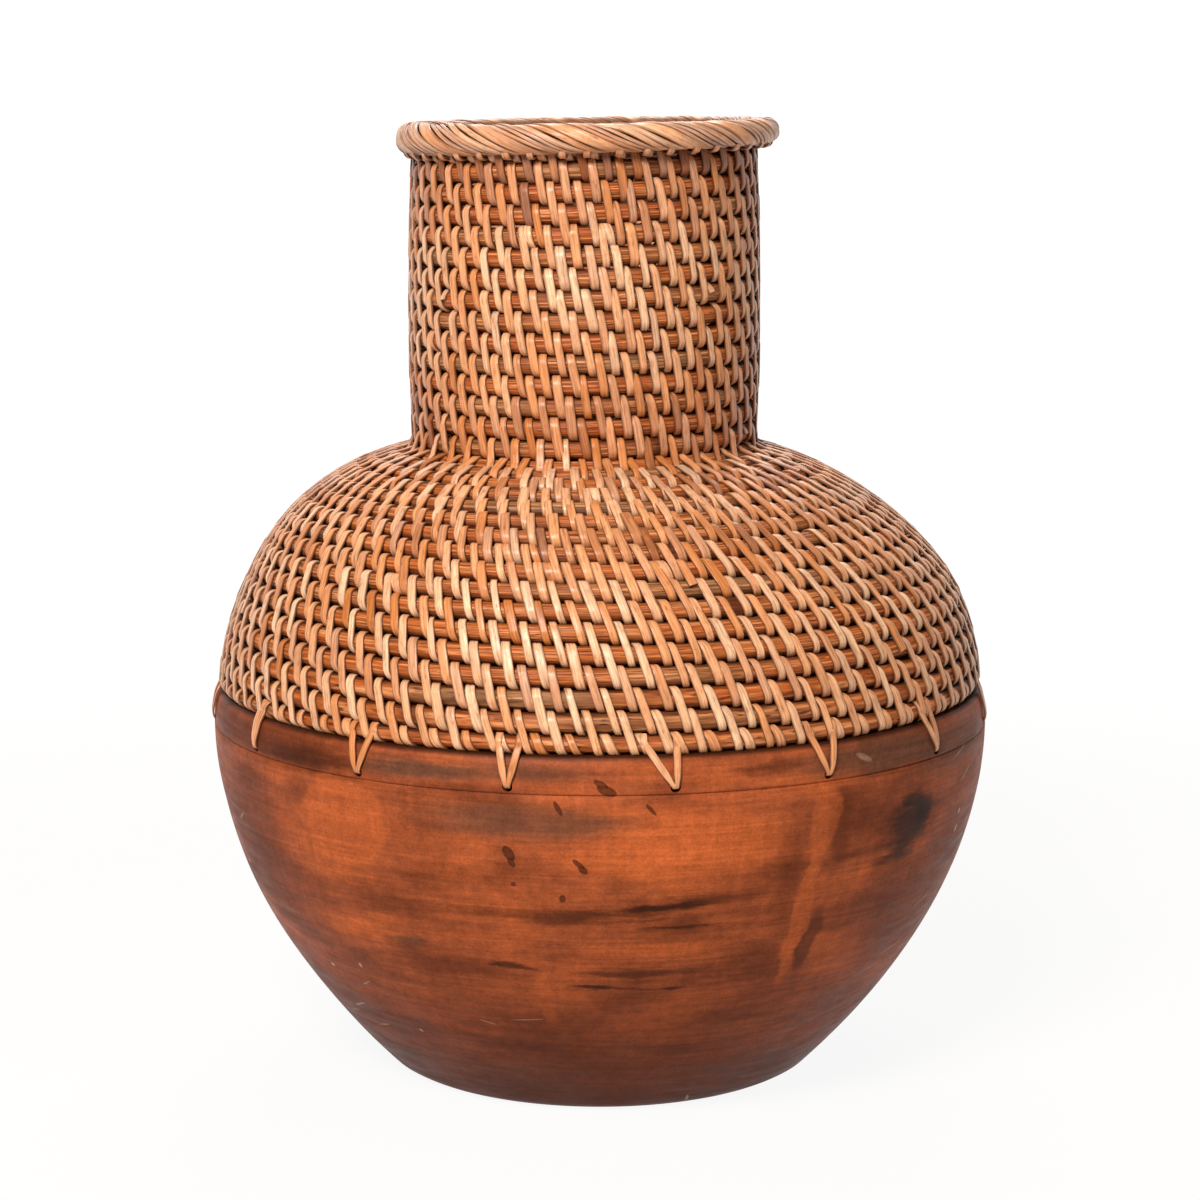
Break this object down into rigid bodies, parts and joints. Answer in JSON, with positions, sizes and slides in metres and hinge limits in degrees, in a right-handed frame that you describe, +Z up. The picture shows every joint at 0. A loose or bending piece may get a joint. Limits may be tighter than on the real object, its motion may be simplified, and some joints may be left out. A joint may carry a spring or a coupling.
{
  "type": "rattan vase",
  "caption": "Free-standing vase: round clay bowl with a coiled cane shoulder and neck lashed to its lip, ending in a wrapped rim roll.",
  "frame": {"origin": "centre of the flat foot, on the surface that the vase stands on", "axes": "+Z up through the mouth, front towards -Y, +X to the right when seen from the front"},
  "size_m": [0.33, 0.33, 0.4025],
  "materials": {
    "burnished_clay": "burnished earthenware, satin",
    "core_cane": "stained round rattan core, fibrous, satin",
    "cane_peel": "flat rattan peel, smooth, slight gloss"
  },
  "bodies": {
    "root": {"clay_bowl": "burnished_clay", "shoulder_cane_1": "core_cane", "shoulder_cane_2": "core_cane", "shoulder_cane_3": "core_cane", "shoulder_cane_4": "core_cane", "shoulder_cane_5": "core_cane", "neck_cane_1": "core_cane", "neck_cane_2": "core_cane", "neck_cane_3": "core_cane", "rim_core": "core_cane", "rim_strip_1": "cane_peel", "rim_strip_2": "cane_peel", "rim_strip_3": "cane_peel", "rim_strip_4": "cane_peel", "rim_strip_5": "cane_peel", "rim_strip_6": "cane_peel", "tie_01": "cane_peel", "tie_02": "cane_peel", "tie_03": "cane_peel", "tie_04": "cane_peel", "tie_05": "cane_peel", "tie_06": "cane_peel", "tie_07": "cane_peel", "tie_08": "cane_peel", "tie_09": "cane_peel", "tie_10": "cane_peel", "tie_11": "cane_peel", "tie_12": "cane_peel", "tie_13": "cane_peel", "tie_14": "cane_peel", "tie_15": "cane_peel", "tie_16": "cane_peel"}
  },
  "joints": []
}
